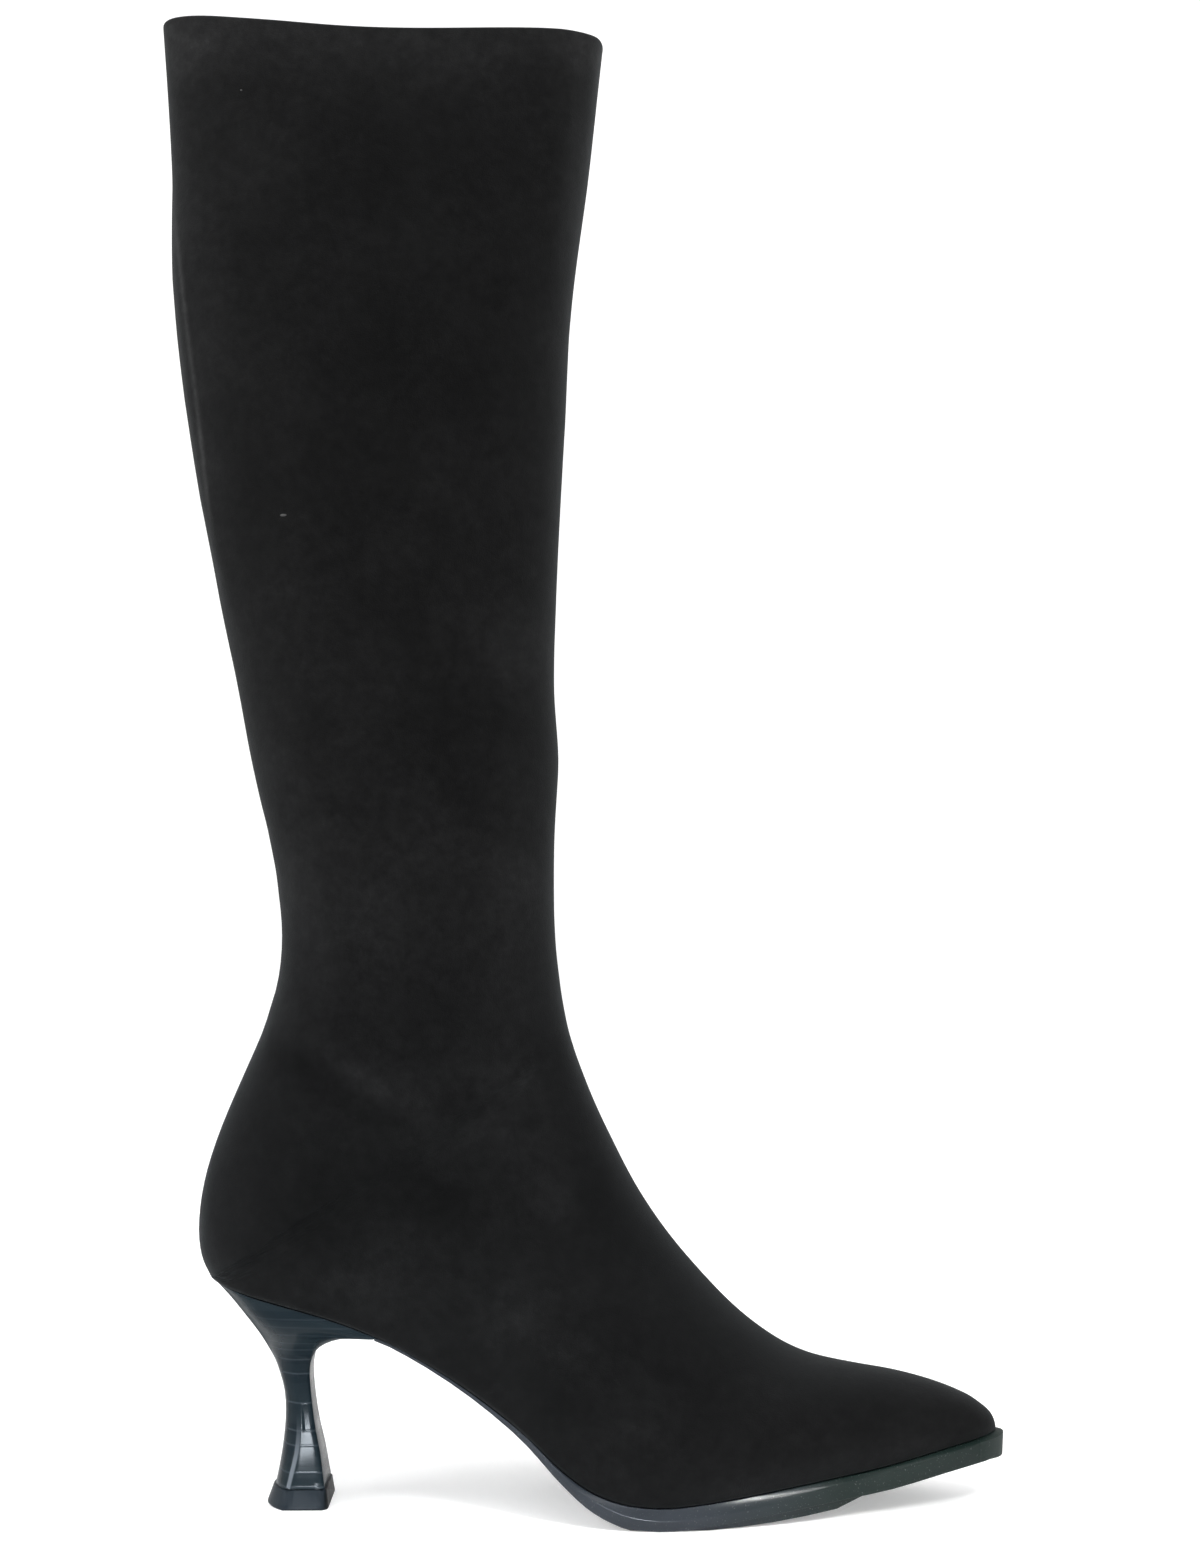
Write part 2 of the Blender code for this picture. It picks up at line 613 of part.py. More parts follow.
def heel_solid(name, table, steps, corner, finish):
    bm = bmesh.new()
    rows = [verts_of(bm, heel_ring(row, corner)) for row in between(table, steps)]
    skin(bm, [row + row[:1] for row in rows])
    for row in (rows[0], rows[-1]):
        half = len(row) // 2
        strip(bm, row[: half + 1], row[: half - 1 : -1])
    new_object(name, bm, finish)


def clear():
    for obj in list(bpy.data.objects):
        bpy.data.objects.remove(obj)


clear()
upper()
insole()
outsole()
heel_solid("heel", HEEL, 2, HEEL_CORNER, "stacked_heel")
heel_solid("top_piece", TOP_PIECE, 1, TOP_PIECE_CORNER, "top_piece_rubber")
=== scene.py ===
"""Looks of a knee-high suede boot for the right foot: its nap, folds and lint, its glossy sole
and stacked heel, its lining and sock, and the studio round it.

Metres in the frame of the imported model: x towards the toe, y towards the inner side of the
foot, z up from the floor. Tables and named sizes are in millimetres where nothing else is
said, with x counted from the rearmost point of the heel counter.
"""

import math
from collections import namedtuple

import bmesh
import bpy
import numpy as np
from mathutils import Matrix, Vector


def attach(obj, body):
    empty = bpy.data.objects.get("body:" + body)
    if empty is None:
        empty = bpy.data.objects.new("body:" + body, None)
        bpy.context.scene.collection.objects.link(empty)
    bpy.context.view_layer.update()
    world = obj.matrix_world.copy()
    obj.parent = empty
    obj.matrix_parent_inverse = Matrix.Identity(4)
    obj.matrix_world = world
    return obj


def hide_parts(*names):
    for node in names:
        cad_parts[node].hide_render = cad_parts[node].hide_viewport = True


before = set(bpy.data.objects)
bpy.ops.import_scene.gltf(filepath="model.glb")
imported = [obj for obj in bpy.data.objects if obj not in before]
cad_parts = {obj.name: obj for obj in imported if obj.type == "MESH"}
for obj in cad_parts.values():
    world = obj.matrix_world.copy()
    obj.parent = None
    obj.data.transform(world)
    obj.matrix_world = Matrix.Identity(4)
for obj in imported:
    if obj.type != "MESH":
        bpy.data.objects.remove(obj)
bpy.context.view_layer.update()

MM = 0.001
HEEL_X = -120.9  # where the counter's rearmost point lies in the frame, along x
OUTER, INNER = -1, 1

# The upper

# height: how far the fold stands out (a trough is negative); width: its half width;
# fade: the length over which it dies out at both ends; points: (x, z) along its line
Fold = namedtuple("Fold", "side height width fade points")
BACK_CREST = [(-5.2, 416), (-3.0, 378), (-0.6, 346), (4.0, 315), (11.0, 284), (18, 262)]
BACK_TROUGH = [(-9.0, 410), (-8.0, 378), (-5.2, 346), (-0.6, 315), (6.4, 284), (12, 264)]
FOLDS = [
    # the pinched strip down the back
    Fold(OUTER, 0.7, 2.6, 40, BACK_CREST),
    Fold(OUTER, -0.7, 3.4, 36, BACK_TROUGH),
    Fold(INNER, 0.5, 3.0, 40, [(-4.5, 430), (-2.0, 380), (1.4, 340), (7.0, 305), (15.0, 276)]),
    Fold(INNER, -0.5, 3.6, 36, [(-8.5, 425), (-7.0, 380), (-3.6, 340), (2.5, 305), (10.0, 276)]),
    # soft edges down the front of the shaft
    Fold(OUTER, 0.6, 3.5, 22, [(115.5, 446), (114.2, 420), (111.8, 392), (109.4, 366)]),
    Fold(OUTER, -0.5, 5.0, 22, [(107.5, 440), (105.6, 414), (103.5, 390)]),
    Fold(INNER, 0.5, 4.0, 22, [(115.0, 450), (112.6, 410), (109.2, 372)]),
    # slack round the front of the leg
    Fold(OUTER, -1.0, 6.0, 18, [(113, 258), (101, 254), (88, 256), (78, 262)]),
    Fold(OUTER, 0.8, 7.0, 18, [(114, 274), (102, 276), (90, 282)]),
    Fold(OUTER, 0.9, 6.5, 18, [(114, 238), (102, 234), (86, 236), (70, 245)]),
    Fold(OUTER, -0.9, 7.0, 20, [(112, 218), (100, 213), (86, 215), (72, 224)]),
    Fold(OUTER, 0.6, 8.0, 20, [(112, 192), (100, 194), (88, 202)]),
    Fold(INNER, -1.0, 7.0, 20, [(113, 262), (100, 256), (84, 260), (70, 270)]),
    Fold(INNER, 0.9, 7.5, 20, [(114, 238), (98, 232), (80, 238)]),
    Fold(INNER, -0.9, 7.5, 20, [(112, 214), (96, 208), (78, 216)]),
    # slack round the back of the leg
    Fold(OUTER, -0.8, 5.5, 16, [(17, 216), (28, 213), (40, 218), (52, 228)]),
    Fold(OUTER, 0.8, 6.5, 18, [(18, 232), (30, 230), (44, 238)]),
    Fold(OUTER, 0.9, 6.5, 16, [(23, 196), (34, 192), (46, 196)]),
    Fold(INNER, -0.9, 6.0, 16, [(17, 218), (30, 213), (46, 222)]),
    Fold(INNER, 0.9, 6.5, 16, [(22, 198), (36, 192), (52, 200)]),
    # the creases that run down and forwards from the back of the ankle
    Fold(OUTER, 1.1, 4.8, 18, [(20, 160), (30, 153), (41, 146), (53, 137), (66, 127), (76, 121)]),
    Fold(OUTER, -1.1, 5.4, 18, [(18, 151), (27, 145), (38, 137), (50, 127), (60, 118)]),
    Fold(OUTER, 0.8, 6.0, 16, [(18, 132), (30, 130), (42, 122), (52, 112)]),
    Fold(OUTER, -0.9, 6.5, 18, [(60, 146), (72, 137), (84, 130), (94, 126)]),
    Fold(OUTER, 0.9, 6.0, 14, [(74, 128), (86, 122), (98, 118), (108, 118)]),
    Fold(OUTER, -1.1, 7.0, 20, [(56, 108), (70, 102), (86, 98), (100, 98)]),
    Fold(OUTER, 0.9, 5.5, 8, [(99, 135), (103, 132)]),
    Fold(OUTER, 0.7, 7.0, 10, [(108, 102), (117, 96)]),
    Fold(INNER, 1.4, 5.0, 18, [(21, 158), (34, 150), (48, 141), (62, 132)]),
    Fold(INNER, -1.5, 5.5, 18, [(19, 149), (32, 141), (46, 131), (60, 122)]),
    Fold(INNER, 0.9, 6.5, 18, [(74, 132), (90, 124), (106, 122)]),
    Fold(INNER, -1.0, 7.0, 20, [(62, 110), (80, 102), (98, 100)]),
    # the vamp
    Fold(OUTER, -0.5, 9.0, 22, [(128, 92), (140, 76), (150, 62)]),
    Fold(OUTER, 0.4, 8.0, 20, [(160, 44), (176, 38), (192, 36)]),
    Fold(INNER, -0.5, 9.0, 22, [(126, 94), (138, 78), (148, 64)]),
]

FOLD_SIDE = 6.0  # depth over which a fold passes from one side of the boot to the other
FOLD_TOP = 456.0  # height at which the last trace of a fold ends, below the collar
FOLD_TOP_FADE = 8.0
FOLD_PAINTED_LIGHT = 0.16  # painted light and shade: how much lighter a crest of one millimetre is painted, and a trough as much darker

# tone of the nap, much of it painted light and shade: lighter along the collar and near the
# shaft's front and back edges, darker over the middle of the shaft, over the foot and heel cup
# and along the rim of the vamp; the rest are the nap's own lighter (tone above 0) and darker
# patches. along and across: the patch's reach both ways from its middle, turned by an angle in
# degrees
Patch = namedtuple("Patch", "x z along across turn tone")
NAP_AND_PAINTED_LIGHT_PATCHES = [
    Patch(60, 455, 76, 12, 0, 0.62),
    Patch(-6, 452, 14, 12, 0, 0.12),
    Patch(-7, 396, 8, 60, 0, 0.42),
    Patch(0, 318, 8, 36, 12, 0.42),
    Patch(4, 456, 22, 12, 0, 0.42),
    Patch(121, 428, 8, 24, 0, 0.38),
    Patch(122, 454, 9, 13, 0, 0.60),
    Patch(66, 392, 40, 62, 0, -0.42),
    Patch(62, 318, 34, 44, 0, -0.25),
    Patch(84, 238, 26, 15, 0, -0.40),
    Patch(100, 262, 9, 13, 0, 0.42),
    Patch(31, 246, 8, 22, 12, 0.25),
    Patch(36, 190, 8, 17, 0, 0.50),
    Patch(42, 212, 10, 6, -30, 0.20),
    Patch(98, 200, 9, 22, 0, 0.22),
    Patch(72, 203, 4, 4, 0, 0.25),
    Patch(76, 274, 3, 4, 0, 0.2),
    Patch(29, 145, 13, 8, -25, -0.34),
    Patch(52, 137, 13, 4.0, -37, 0.40),
    Patch(74, 137, 10, 3, 0, 0.25),
    Patch(101, 134, 5, 6, 0, 0.45),
    Patch(62, 124, 8, 4, -20, -0.5),
    Patch(82, 126, 8, 3.5, 0, -0.5),
    Patch(103, 122, 5, 3, 0, -0.45),
    Patch(78, 98, 26, 14, -12, -0.62),
    Patch(113, 98, 8, 7, 0, 0.32),
    Patch(18, 118, 8, 6, 60, 0.22),
    Patch(4, 108, 7, 30, -6, -0.35),
    Patch(48, 75, 15, 7, -14, 0.36),
    Patch(106, 60, 26, 12, -28, 0.26),
    Patch(132, 92, 12, 8, -50, -0.12),
    Patch(148, 84, 34, 12, -45, -0.75),
    Patch(118, 150, 10, 46, 8, -0.40),
    Patch(115, 262, 8, 44, 0, -0.38),
    Patch(140, 30, 26, 12, -8, 0.12),
    Patch(140, 38, 95, 42, -14, -0.62),
    Patch(75, 150, 36, 30, 0, -0.22),
    Patch(46, 92, 11, 15, 0, -0.38),
    Patch(170, 62, 26, 9, -38, -0.40),
    Patch(124, 112, 9, 34, 21, -0.40),
    Patch(112, 190, 8, 40, 0, -0.28),
    Patch(30, 104, 44, 34, 0, -0.42),
    Patch(196, 34, 32, 9, -6, -0.16),
]

# line of the painted highlight on the crest of the fold down the back of the outer side, with
# painted shade
# behind it: (x, z) at its foot, its knee and its top
PAINTED_CREST_LINE = [(5.2, 304), (1.1, 343), (-6.3, 403)]

# specks of lint on the outer side, by their half length and half height
Lint = namedtuple("Lint", "x z length height")
LINT = [Lint(29.5, 307.5, 1.15, 0.42), Lint(16.2, 437.9, 0.36, 0.26)]
LINT_DEPTH = 0.15  # half of their thickness

# how far the skin stands out from the pattern along its front and its back
Fullness = namedtuple("Fullness", "z front back")
FULLNESS = [
    Fullness(20, 0.1, 0.5),
    Fullness(32, 0.6, 0.5),
    Fullness(75, 0.7, 0.7),
    Fullness(138, 0.6, 0.4),
    Fullness(160, 0.5, 0.0),
    Fullness(205, 0.5, 0.0),
    Fullness(262, 0.5, 0.3),
    Fullness(282, 0.6, 1.0),
    Fullness(340, 0.6, 1.1),
    Fullness(366, 0.1, 1.5),
    Fullness(384, 0.3, 1.5),
    Fullness(414, 0.6, 0.3),
    Fullness(465, 0.7, 0.4),
]

RIM_BASE = 455.0  # a height just below the whole collar
RIM_ROUND = 1.0
RIM_LIFT = 0.5  # how far the rim rises at most
RIM_LIFT_BASE = 446.0  # height at which the rise begins
RIM_LIFT_REACH = 12.0
RIM_FRONT_X = 125.0  # towards this, over RIM_FRONT_REACH, the rise falls to RIM_FRONT_SHARE
RIM_FRONT_REACH = 10.0
RIM_FRONT_SHARE = 0.2
LINING_BAND = (380.0, 430.0)  # heights between which the lining's back wall is looked for
CREASE = 0.75  # how crisp a folded edge stays when its surface is smoothed

# The bottom

EDGE_ANGLE = 40  # degrees: flatter edges are shaded smooth
SHANK_END = 0.2  # depth of the shank's end face
SHANK_LAP = 0.6  # how far the shank's end runs on towards the heel
TOE_DROP = 0.9  # how far the sole's edge sinks at the tip of the toe
TOE_DROP_START = 247.9  # x at which the sinking begins
TOE_DROP_REACH = 4.0
TOE_DROP_TOP = 18.0  # only what lies lower sinks
TOE_TONE = (155.9, 200.9)  # x between which the colour passes from that of the ball to the toe's
TIP_DULL = (241.9, 249.9)  # x between which the gloss goes off at the tip
RIDGE_X = 34.0  # the heel's two rear ridges lie behind this
RIDGE_STRIP = 0.95
RIDGE_HIGHLIGHT_TOP = 27.0  # height at which the painted highlight on the ridges begins
RIDGE_HIGHLIGHT_FADE = 12.0
STACK_JOINTS = [61.4, 58.7, 55.8, 52.5, 49.9, 46.3, 41.5, 32.2, 23.7, 19.2, 11.1, 6.9]
JOINT_CORE = 0.12  # half the height of a joint, without and with its soft edges
JOINT_EDGE = 0.42
JOINT_FADE = (38.0, 56.0)  # heights over which the joints grow fainter towards the seat
LAYER_STEP = 3.2  # height over which the layers keep one darkness
SEAT_ZONE = (44.0, 54.0)  # heights over which the block's turned edges lose their gloss
TOP_PIECE_CORNER_X = 36.0  # the top piece's front corners lie in front of this
TOP_PIECE_END = (39.7, 40.9)  # x between which the painted shade on its front end sets in

# Colours: linear red, green, blue and alpha, from dark to light where there are two

BLACK = (0, 0, 0, 1)
WHITE = (1, 1, 1, 1)
RAISED_NAP = (0.03, 0.0303, 0.0306, 1)
NAP_SHEEN = (0.86, 0.92, 0.95, 1)
LINING = ((0.008, 0.008, 0.009, 1), (0.02, 0.02, 0.021, 1))
SOCK = ((0.014, 0.013, 0.013, 1), (0.03, 0.028, 0.027, 1))
SOLE_BALL = ((0.0165, 0.0198, 0.0244, 1), (0.0215, 0.0252, 0.0308, 1))
SOLE_TOE = ((0.0058, 0.0112, 0.0098, 1), (0.0082, 0.0147, 0.0128, 1))
DUST = (0.05, 0.055, 0.055, 1)
STACK = ((0.0056, 0.0097, 0.0126, 1), (0.0089, 0.0139, 0.0169, 1))
STACK_JOINT = (0.02, 0.026, 0.031, 1)
# painted highlight along the heel's rear ridges
PAINTED_RIDGE_HIGHLIGHT = (0.085, 0.096, 0.108, 1)
TOP_PIECE = ((0.0085, 0.0123, 0.0162, 1), (0.0118, 0.0162, 0.0206, 1))
# painted shade on the top piece's front end
TOP_PIECE_FRONT_SHADE = (0.004, 0.0048, 0.0056, 1)
LINT_GREY = ((0.02, 0.02, 0.02, 1), (0.06, 0.06, 0.06, 1))
PAPER = (0.88, 0.88, 0.88, 1)

# The studio, in metres

FLOOR_RADIUS = 3.0
FLOOR_SIDES = 96
SWEEP = 1.5  # radius of the curve between floor and wall
SWEEP_STEPS = 12
WALL_HEIGHT = 2.5
COOL_WHITE = (0.84, 0.92, 1.0)


def last_x(x):
    """Distance forward from the rearmost point of the counter, in millimetres."""
    return x / MM - HEEL_X


def frame_x(x):
    """A distance forward from the counter, in millimetres, as a place along x in the frame."""
    return (x + HEEL_X) * MM


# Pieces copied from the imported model


def merged(node):
    """A bmesh of a CAD node with its loose triangles joined up."""
    bm = bmesh.new()
    bm.from_mesh(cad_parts[node].data)
    bmesh.ops.remove_doubles(bm, verts=bm.verts, dist=1e-6)
    bmesh.ops.dissolve_degenerate(bm, dist=1e-6, edges=bm.edges)
    return bm


def to_quads(bm):
    """Joins triangles in pairs, except over sharp edges."""
    bmesh.ops.join_triangles(
        bm,
        faces=bm.faces,
        angle_face_threshold=math.radians(40),
        angle_shape_threshold=math.radians(60),
    )


def crease_edges(bm, degrees):
    """Edges between faces that meet at more than an angle, marked to stay crisp."""
    layer = bm.edges.layers.float.get("crease_edge") or bm.edges.layers.float.new("crease_edge")
    sharp = []
    for edge in bm.edges:
        if len(edge.link_faces) == 2 and edge.calc_face_angle() > math.radians(degrees):
            edge[layer] = CREASE
            sharp.append(edge)
    return sharp


def is_upright(edge):
    """Whether an edge stands at more than about 45 degrees."""
    rise = abs(edge.verts[0].co.z - edge.verts[1].co.z)
    return rise > 0.7 * edge.calc_length()


def round_edges(bm, edges, width, segments):
    """Rounds edges over a width on both sides, and gives the new faces."""
    rounded = bmesh.ops.bevel(
        bm,
        geom=edges,
        offset=width * MM,
        offset_type="OFFSET",
        segments=segments,
        profile=0.5,
        affect="EDGES",
        material=-1,
    )
    return set(rounded["faces"])


def mesh_object(name, bm, materials):
    """An object made of a finished bmesh, shaded smooth."""
    for face in bm.faces:
        face.smooth = True
    mesh = bpy.data.meshes.new(name)
    bm.to_mesh(mesh)
    bm.free()
    for material in materials:
        mesh.materials.append(material)
    obj = bpy.data.objects.new(name, mesh)
    bpy.context.scene.collection.objects.link(obj)
    return obj


def piece(name, bm, materials, node=None):
    """A piece of the boot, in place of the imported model's node if one is given."""
    obj = mesh_object(name, bm, materials)
    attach(obj, "root")
    if node:
        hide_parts(node)
    return obj


def apply_modifiers(obj):
    """Works the object's modifiers into its mesh."""
    graph = bpy.context.evaluated_depsgraph_get()
    mesh = bpy.data.meshes.new_from_object(obj.evaluated_get(graph))
    old = obj.data
    obj.modifiers.clear()
    obj.data = mesh
    bpy.data.meshes.remove(old)


def subdivide(obj, levels):
    """Smooths the object's surface by splitting its faces."""
    modifier = obj.modifiers.new("smooth", "SUBSURF")
    modifier.levels = levels
    modifier.render_levels = levels


def ease_edges(obj, width, degrees):
    """Rounds every edge that turns by more than an angle, over a width on both sides."""
    modifier = obj.modifiers.new("edges", "BEVEL")
    modifier.width = width * MM
    modifier.segments = 2
    modifier.limit_method = "ANGLE"
    modifier.angle_limit = math.radians(degrees)
    modifier.harden_normals = False
    obj.data.set_sharp_from_angle(angle=math.radians(EDGE_ANGLE))


# Node groups and materials


def new_group(name, inputs, outputs):
    """A shader node group with named sockets: (name, socket type, default)."""
    group = bpy.data.node_groups.new(name, "ShaderNodeTree")
    for label, kind, default in inputs:
        socket = group.interface.new_socket(label, in_out="INPUT", socket_type=kind)
        if default is not None:
            socket.default_value = default
    for label, kind in outputs:
        group.interface.new_socket(label, in_out="OUTPUT", socket_type=kind)
    return group


class Nodes:
    """Short ways to place and join the nodes of a tree."""

    def __init__(self, tree):
        self.tree = tree

    def add(self, kind, **settings):
        node = self.tree.nodes.new(kind)
        for key, value in settings.items():
            setattr(node, key, value)
        return node

    def link(self, start, end):
        self.tree.links.new(start, end)

    def feed(self, socket, value):
        if isinstance(value, bpy.types.NodeSocket):
            self.link(value, socket)
        else:
            socket.default_value = value

    def attribute(self, name):
        return self.add("ShaderNodeAttribute", attribute_name=name).outputs["Fac"]

    def axes(self, vector):
        node = self.add("ShaderNodeSeparateXYZ")
        self.link(vector, node.inputs[0])
        return node.outputs

    def math(self, operation, first, second=0.0, clamp=False):
        node = self.add("ShaderNodeMath", operation=operation, use_clamp=clamp)
        self.feed(node.inputs[0], first)
        self.feed(node.inputs[1], second)
        return node.outputs[0]

    def noise(self, vector, scale, detail=3.0, roughness=0.55):
        node = self.add("ShaderNodeTexNoise")
        self.feed(node.inputs["Vector"], vector)
        self.feed(node.inputs["Scale"], scale)
        node.inputs["Detail"].default_value = detail
        node.inputs["Roughness"].default_value = roughness
        return node.outputs["Fac"]

    def bands(self, vector, direction, scale, distortion):
        node = self.add("ShaderNodeTexWave", wave_type="BANDS", bands_direction=direction)
        self.link(vector, node.inputs["Vector"])
        node.inputs["Scale"].default_value = scale
        node.inputs["Distortion"].default_value = distortion
        return node.outputs["Fac"]

    def map_range(self, value, low, high, to_low=0.0, to_high=1.0):
        node = self.add("ShaderNodeMapRange")
        self.feed(node.inputs["Value"], value)
        self.feed(node.inputs["From Min"], low)
        self.feed(node.inputs["From Max"], high)
        self.feed(node.inputs["To Min"], to_low)
        self.feed(node.inputs["To Max"], to_high)
        return node.outputs["Result"]

    def mix(self, share, first, second):
        node = self.add("ShaderNodeMix", data_type="RGBA")
        self.feed(node.inputs["Factor"], share)
        self.feed(node.inputs["A"], first)
        self.feed(node.inputs["B"], second)
        return node.outputs["Result"]


def nap_group():
    """Suede's nap: soft cloudy patches, brushed streaks and the short pile itself; its tone also
    carries the painted light and shade it is given.
    """
    group = new_group(
        "nap",
        [
            ("Vector", "NodeSocketVector", None),
            ("Cloud size", "NodeSocketFloat", 26.0),
            ("Pile size", "NodeSocketFloat", 2600.0),
            ("Brushed", "NodeSocketFloat", 0.0),
        ],
        [("Tone", "NodeSocketFloat"), ("Pile", "NodeSocketFloat")],
    )
    n = Nodes(group)
    given = n.add("NodeGroupInput").outputs
    result = n.add("NodeGroupOutput").inputs
    clouds = n.noise(given["Vector"], given["Cloud size"], 4.0, 0.6)
    small = n.noise(given["Vector"], n.math("MULTIPLY", given["Cloud size"], 9.0), 3.0, 0.65)
    pile = n.noise(given["Vector"], given["Pile size"], 2.0, 0.7)
    fine = n.noise(given["Vector"], n.math("MULTIPLY", given["Pile size"], 0.3), 3.0, 0.7)
    cloudy = n.map_range(clouds, 0.32, 0.68, -0.3, 0.3)
    mottled = n.map_range(small, 0.3, 0.7, -0.3, 0.3)
    grainy = n.map_range(fine, 0.3, 0.7, -0.16, 0.16)
    tone = n.math("ADD", n.math("ADD", cloudy, mottled), n.math("ADD", grainy, given["Brushed"]))
    n.link(tone, result["Tone"])
    height = n.math("ADD", n.math("MULTIPLY", pile, 0.6), n.math("MULTIPLY", fine, 0.4))
    n.link(height, result["Pile"])
    return group


def handling_group():
    """Small unevenness of a glossy surface: faint smears and pinpoint dust."""
    group = new_group(
        "handling",
        [("Vector", "NodeSocketVector", None), ("Smear size", "NodeSocketFloat", 60.0)],
        [("Smear", "NodeSocketFloat"), ("Dust", "NodeSocketFloat")],
    )
    n = Nodes(group)
    given = n.add("NodeGroupInput").outputs
    result = n.add("NodeGroupOutput").inputs
    smears = n.noise(given["Vector"], given["Smear size"], 3.0, 0.6)
    dust = n.noise(given["Vector"], 1900.0, 1.0, 0.5)
    n.link(n.map_range(smears, 0.35, 0.7), result["Smear"])
    n.link(n.map_range(dust, 0.68, 0.74), result["Dust"])
    return group


def material(name, roughness, **sockets):
    """A Principled material and its node helper; sockets are set on the shader itself."""
    mat = bpy.data.materials.new(name)
    mat.use_nodes = True
    n = Nodes(mat.node_tree)
    shader = mat.node_tree.nodes["Principled BSDF"]
    shader.inputs["Roughness"].default_value = roughness
    for key, value in sockets.items():
        shader.inputs[key.replace("_", " ")].default_value = value
    place = n.add("ShaderNodeTexCoord").outputs["Object"]
    return mat, n, shader, place


def use_group(n, group, **values):
    """The outputs of a group placed in a material with its own values."""
    node = n.add("ShaderNodeGroup", node_tree=group)
    for key, value in values.items():
        n.feed(node.inputs[key.replace("_", " ")], value)
    return node.outputs


def bump(n, shader, height, strength, distance):
    """Lets a height shape the shader's normal; distance is in metres."""
    node = n.add("ShaderNodeBump")
    node.inputs["Strength"].default_value = strength
    node.inputs["Distance"].default_value = distance
    n.feed(node.inputs["Height"], height)
    n.link(node.outputs["Normal"], shader.inputs["Normal"])


def crest_painted_light(n, place):
    """Tone of the fold down the back of the outer side: a painted highlight on its crest, painted
    shade behind it.
    """
    parts = n.axes(place)
    x, y, z = parts["X"], parts["Y"], parts["Z"]
    crest_line = [(frame_x(x_last), height * MM) for x_last, height in PAINTED_CREST_LINE]
    (foot_x, foot), (knee_x, knee), (top_x, top) = crest_line
    lower = n.map_range(z, foot, knee, foot_x, knee_x)
    upper = n.map_range(z, knee, top, 0.0, top_x - knee_x)
    beside = n.math("SUBTRACT", x, n.math("ADD", lower, upper))
    crest = n.map_range(n.math("ABSOLUTE", beside), 0.2 * MM, 1.4 * MM, 1.0, 0.0)
    behind = n.map_range(beside, -2.4 * MM, -0.6 * MM, 0.35, 0.0)
    low_end = n.map_range(z, foot - 8 * MM, foot + 11 * MM)
    high_end = n.map_range(z, top - 11 * MM, top + 7 * MM, 1.0, 0.0)
    outer = n.math("MULTIPLY", n.math("MULTIPLY", low_end, high_end), n.math("LESS_THAN", y, 0.0))
    return n.math("MULTIPLY", outer, n.math("SUBTRACT", crest, behind))


def suede_material(nap):
    """Black suede; the attribute "nap" brings the tone of the brushed patches, with painted light
    and shade on the folds and in broad patches.
    """
    mat, n, shader, place = material(
        "black_suede",
        0.92,
        Sheen_Weight=0.057,
        Sheen_Roughness=0.5,
        Sheen_Tint=NAP_SHEEN,
        Specular_IOR_Level=0.05,
    )
    # the nap's tone with painted light and shade: on the folds, in the patches and along the back
    # crest
    brushed = n.math("ADD", n.attribute("nap"), crest_painted_light(n, place))
    out = use_group(n, nap, Vector=place, Cloud_size=30.0, Pile_size=2400.0, Brushed=brushed)
    paleness = n.math("POWER", 2.72, out["Tone"])
    share = n.math("MULTIPLY", paleness, 0.140, clamp=True)
    n.link(n.mix(share, BLACK, RAISED_NAP), shader.inputs["Base Color"])
    n.link(n.map_range(out["Tone"], -1.0, 1.0, 0.98, 0.86), shader.inputs["Roughness"])
    bump(n, shader, out["Pile"], 0.35, 0.0004)
    return mat


def lining_material(nap):
    """Knitted black lining of the shaft."""
    mat, n, shader, place = material("black_lining", 0.85, Sheen_Weight=0.1)
    out = use_group(n, nap, Vector=place, Cloud_size=40.0, Pile_size=1500.0)
    share = n.map_range(out["Tone"], -1.0, 1.0)
    n.link(n.mix(share, *LINING), shader.inputs["Base Color"])
    bump(n, shader, n.bands(place, "Z", 260.0, 1.0), 0.3, 0.0003)
    return mat


def sock_material(nap):
    """Smooth leather sock on the insole."""
    mat, n, shader, place = material("black_sock_leather", 0.6, Specular_IOR_Level=0.4)
    grain = n.add("ShaderNodeTexVoronoi", feature="DISTANCE_TO_EDGE")
    n.link(place, grain.inputs["Vector"])
    grain.inputs["Scale"].default_value = 900.0
    out = use_group(n, nap, Vector=place, Cloud_size=22.0, Pile_size=900.0)
    share = n.map_range(out["Tone"], -1.0, 1.0)
    n.link(n.mix(share, *SOCK), shader.inputs["Base Color"])
    n.link(n.map_range(out["Tone"], -1.0, 1.0, 0.68, 0.5), shader.inputs["Roughness"])
    bump(n, shader, grain.outputs["Distance"], 0.25, 0.0003)
    return mat


def sole_material(handling):
    """Dark grey sole edge under a gloss finish, greener towards the toe and dull at its tip;
    the attribute "tread" brings the dull, ribbed underside."""
    mat, n, shader, place = material("sole_finish", 0.2, Specular_IOR_Level=0.17)
    x = n.axes(place)["X"]
    out = use_group(n, handling, Vector=place, Smear_size=45.0)
    ball, toe = n.mix(out["Smear"], *SOLE_BALL), n.mix(out["Smear"], *SOLE_TOE)
    clean = n.mix(n.map_range(x, *map(frame_x, TOE_TONE)), ball, toe)
    n.link(n.mix(out["Dust"], clean, DUST), shader.inputs["Base Color"])
    side = n.map_range(out["Smear"], 0.0, 1.0, 0.14, 0.26)
    tip = n.map_range(x, *map(frame_x, TIP_DULL), 0.0, 0.4)
    under = n.attribute("tread")
    rough = n.math("ADD", n.math("ADD", side, tip), n.math("MULTIPLY", under, 0.35))
    n.link(rough, shader.inputs["Roughness"])
    ribs = n.bands(place, "X", 130.0, 0.0)
    bump(n, shader, n.math("MULTIPLY", ribs, under), 0.6, 0.0005)
    return mat


